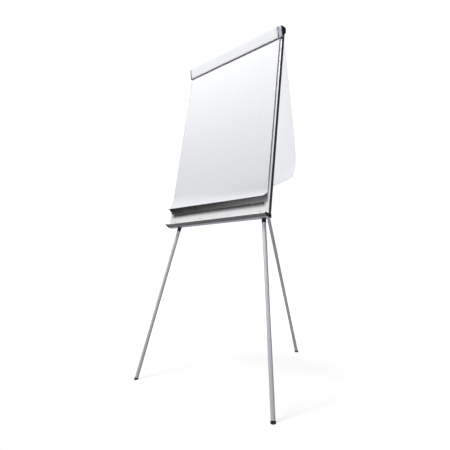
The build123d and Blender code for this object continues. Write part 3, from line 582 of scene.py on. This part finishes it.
def spline(points, steps):
    """Catmull-Rom line through 2-D points, steps to a span."""
    line = []
    last = len(points) - 1
    for k in range(last):
        quad = [Vector(points[min(max(k + d, 0), last)]) for d in (-1, 0, 1, 2)]
        for i in range(steps):
            t = i / steps
            a, b, c, d = quad
            line.append(0.5 * (2 * b + (c - a) * t + (2 * a - 5 * b + 4 * c - d) * t**2
                               + (3 * b - a - 3 * c + d) * t**3))
    line.append(Vector(points[-1]))
    return line


def used_sheet_rows(layer):
    """Grid of world points (mm) of one used sheet; layer 0 lies nearest the bar."""
    gap = layer * SHEET_GAP
    over = spline(OVER_POINTS, OVER_STEPS)
    half = PAD_HALF - SHEET_NARROWER * layer
    places = [mix(-half, half, j / SHEET_COLUMNS) for j in range(SHEET_COLUMNS + 1)]
    rows = []
    for i, p in enumerate(over):
        ahead = over[min(i + 1, len(over) - 1)] - over[max(i - 1, 0)]
        out = Vector((-ahead.y, ahead.x)).normalized() * -gap
        rows.append([on_board(x + SHEET_MID, p.x - out.x, p.y - out.y) / MM for x in places])
    start = rows[-1][0]
    length = HANG_LENGTH - SHEET_SHORTER * layer
    columns = [[row[j] for row in rows] for j in range(len(places))]
    for j, a in enumerate(places):
        point = columns[j][-1].copy()
        for i in range(1, HANG_ROWS + 1):
            fall = i / HANG_ROWS
            z_guess = point.z - length / HANG_ROWS
            edge_y = start.y + table(EDGE_FALL, EDGE_Y, fall) + gap
            leg_y = PIVOT.y + (FOOT_REAR_Y - PIVOT.y) * (PIVOT.z - z_guess) / PIVOT.z + LEG_BACK + gap
            lean = min(max(leg_y - edge_y, LEAST_RISE) / half, MOST_LEAN)
            soft = hypot(a, RIDGE_ROUND) - RIDGE_ROUND * 0.9
            y = edge_y + max(half - soft, 0.0) * lean
            y += WAVE * sin(fall * 5 + a * 0.011) * fall
            side = abs(a) / half
            at_side, at_end = (smooth((t - CORNER_FROM) / (1 - CORNER_FROM)) for t in (side, fall))
            y -= CORNER_CURL * at_side * at_end
            x = a * sqrt(1 - lean * lean) + SHEET_MID
            step = Vector((x - point.x, y - point.y))
            reach = (length + MIDDLE_DROP * (1 - side)) / HANG_ROWS
            drop = sqrt(max(reach**2 - step.length_squared, 1.0))
            point = Vector((x, y, point.z - drop))
            columns[j].append(point)
    count = len(columns[0])
    return [[columns[j][i] * MM for j in range(len(places))] for i in range(count)]


hang_row = OVER_STEPS * (len(OVER_POINTS) - 1) + 1 - BACK_ROWS
for layer in range(SHEETS):
    sheet = sheet_object(
        f"used_sheet_{layer}", used_sheet_rows(layer), SHEET_T * MM, MATERIALS["white_paper"], PAPER_RIM,
        HANGING_PAPER, hang_row,
    )
    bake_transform(sheet)
    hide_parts("flipped_sheets_front", "flipped_sheets_back")

# ------------------------------------------------------------------ floor and light
FLOOR_HALF = 14.0
FLOOR_ALBEDO = 0.42
FLOOR_GLOW = (0.675, 1.08)  # what the camera sees of it besides the light: near, far
FLOOR_MIDDLE = (0, -0.7, 0)  # between the front feet
FLOOR_NEAR = 0.75  # metres from there
FLOOR_FAR = 1.9
FLOOR_SHINE = 0.62  # what glossy surfaces see of it
FLOOR_BOUNCE = 0.05  # what matte surfaces get from it


def floor_material():
    """Pale studio floor: bright to the camera, so that only faint shadows show on it."""
    mat = bpy.data.materials.new("studio_floor")
    mat.use_nodes = True
    tree = mat.node_tree
    tree.nodes.clear()
    output = tree.nodes.new("ShaderNodeOutputMaterial")
    viewer = tree.nodes.new("ShaderNodeLightPath")
    matte = tree.nodes.new("ShaderNodeBsdfDiffuse")
    matte.inputs["Color"].default_value = (FLOOR_ALBEDO, FLOOR_ALBEDO, FLOOR_ALBEDO, 1)
    away = tree.nodes.new("ShaderNodeVectorMath")
    away.operation = "DISTANCE"
    away.inputs[1].default_value = FLOOR_MIDDLE
    place = tree.nodes.new("ShaderNodeNewGeometry")
    tree.links.new(place.outputs["Position"], away.inputs[0])
    seen = tree.nodes.new("ShaderNodeEmission")
    glow = map_range(tree, away.outputs["Value"], FLOOR_NEAR, FLOOR_FAR, *FLOOR_GLOW)
    tree.links.new(glow, seen.inputs["Strength"])
    lit = tree.nodes.new("ShaderNodeAddShader")
    tree.links.new(matte.outputs[0], lit.inputs[0])
    tree.links.new(seen.outputs[0], lit.inputs[1])
    other = tree.nodes.new("ShaderNodeEmission")
    bounce = map_range(tree, viewer.outputs["Is Glossy Ray"], 0, 1, FLOOR_BOUNCE, FLOOR_SHINE)
    tree.links.new(bounce, other.inputs["Strength"])
    choose = tree.nodes.new("ShaderNodeMixShader")
    tree.links.new(viewer.outputs["Is Camera Ray"], choose.inputs["Fac"])
    tree.links.new(other.outputs[0], choose.inputs[1])
    tree.links.new(lit.outputs[0], choose.inputs[2])
    tree.links.new(choose.outputs[0], output.inputs["Surface"])
    return mat


floor_mesh = bpy.data.meshes.new("floor")
floor_shape = bmesh.new()
bmesh.ops.create_grid(floor_shape, x_segments=2, y_segments=2, size=FLOOR_HALF)
floor_shape.to_mesh(floor_mesh)
floor_shape.free()
floor_mesh.materials.append(floor_material())
floor = bpy.data.objects.new("floor", floor_mesh)
bpy.context.scene.collection.objects.link(floor)

# Room light: bright from the front left, dim from the back right; plain pale to the camera
BRIGHT_FROM = Vector((-0.60, -0.45, 0.66)).normalized()
ROOM_LIGHT = 0.38  # at its brightest
ROOM_COLOUR = (0.97, 0.985, 1.0, 1)
BACKGROUND = 1.05
world = bpy.data.worlds.new("studio")
bpy.context.scene.world = world
world.use_nodes = True
tree = world.node_tree
tree.nodes.clear()
output = tree.nodes.new("ShaderNodeOutputWorld")
seen = tree.nodes.new("ShaderNodeBackground")
seen.inputs["Color"].default_value = (1, 1, 1, 1)
seen.inputs["Strength"].default_value = BACKGROUND
lit = tree.nodes.new("ShaderNodeBackground")
lit.inputs["Color"].default_value = ROOM_COLOUR
coord = tree.nodes.new("ShaderNodeTexCoord")
toward = dot_with(tree, coord.outputs["Generated"], BRIGHT_FROM)
tree.links.new(map_range(tree, toward, -1, 1, 0, ROOM_LIGHT), lit.inputs["Strength"])
choose = tree.nodes.new("ShaderNodeMixShader")
path = tree.nodes.new("ShaderNodeLightPath")
tree.links.new(path.outputs["Is Camera Ray"], choose.inputs["Fac"])
tree.links.new(lit.outputs[0], choose.inputs[1])
tree.links.new(seen.outputs[0], choose.inputs[2])
tree.links.new(choose.outputs[0], output.inputs["Surface"])


def soft_box(name, place, target, size, power):
    """A rectangular lamp, size in metres and power in watts, aimed at target."""
    data = bpy.data.lights.new(name, "AREA")
    data.shape = "RECTANGLE"
    data.size, data.size_y = size
    data.energy = power
    lamp = bpy.data.objects.new(name, data)
    lamp.location = place
    lamp.rotation_euler = (Vector(target) - Vector(place)).to_track_quat("-Z", "Y").to_euler()
    bpy.context.scene.collection.objects.link(lamp)


soft_box("key", (-1.17, -4.1, 3.07), (0, -0.1, 1.3), (0.7, 0.7), 34)
soft_box("top", (-0.4, -1.6, 3.6), (0, -0.05, 1.75), (1.1, 0.6), 55)
soft_box("fill", (3.0, -1.2, 1.5), (0.3, 0, 1.2), (1.2, 1.2), 13)
soft_box("rear", (-1.6, 2.6, 2.2), (0, 0.1, 1.4), (1.6, 1.6), 30)

# ------------------------------------------------------------------ camera
CAMERA_PLACE = Vector((1.4018, -1.7598, 0.6927))
CAMERA_YAW = radians(-43.821)
CAMERA_PITCH = radians(6.988)
CAMERA_ROLL = radians(-3.359)
FOCAL_SHARE = 0.8760889  # focal length as a share of the frame's width
CENTRE_SHIFT = (0.0462, -0.0624)  # of the lens, as shares of that width
SENSOR_WIDTH = 36.0
forward = Vector(
    (sin(CAMERA_YAW) * cos(CAMERA_PITCH), cos(CAMERA_YAW) * cos(CAMERA_PITCH), sin(CAMERA_PITCH))
)
level_right = Vector((cos(CAMERA_YAW), -sin(CAMERA_YAW), 0))
level_up = level_right.cross(forward)
right = level_right * cos(CAMERA_ROLL) + level_up * sin(CAMERA_ROLL)
up = -level_right * sin(CAMERA_ROLL) + level_up * cos(CAMERA_ROLL)
camera_data = bpy.data.cameras.new("camera")
camera_data.sensor_width = SENSOR_WIDTH
camera_data.lens = SENSOR_WIDTH * FOCAL_SHARE
camera_data.shift_x, camera_data.shift_y = CENTRE_SHIFT
camera = bpy.data.objects.new("camera", camera_data)
turn = Matrix((right, up, -forward)).transposed()
camera.matrix_world = Matrix.Translation(CAMERA_PLACE) @ turn.to_4x4()
bpy.context.scene.collection.objects.link(camera)
bpy.context.scene.camera = camera
bpy.context.scene.view_settings.view_transform = "Standard"
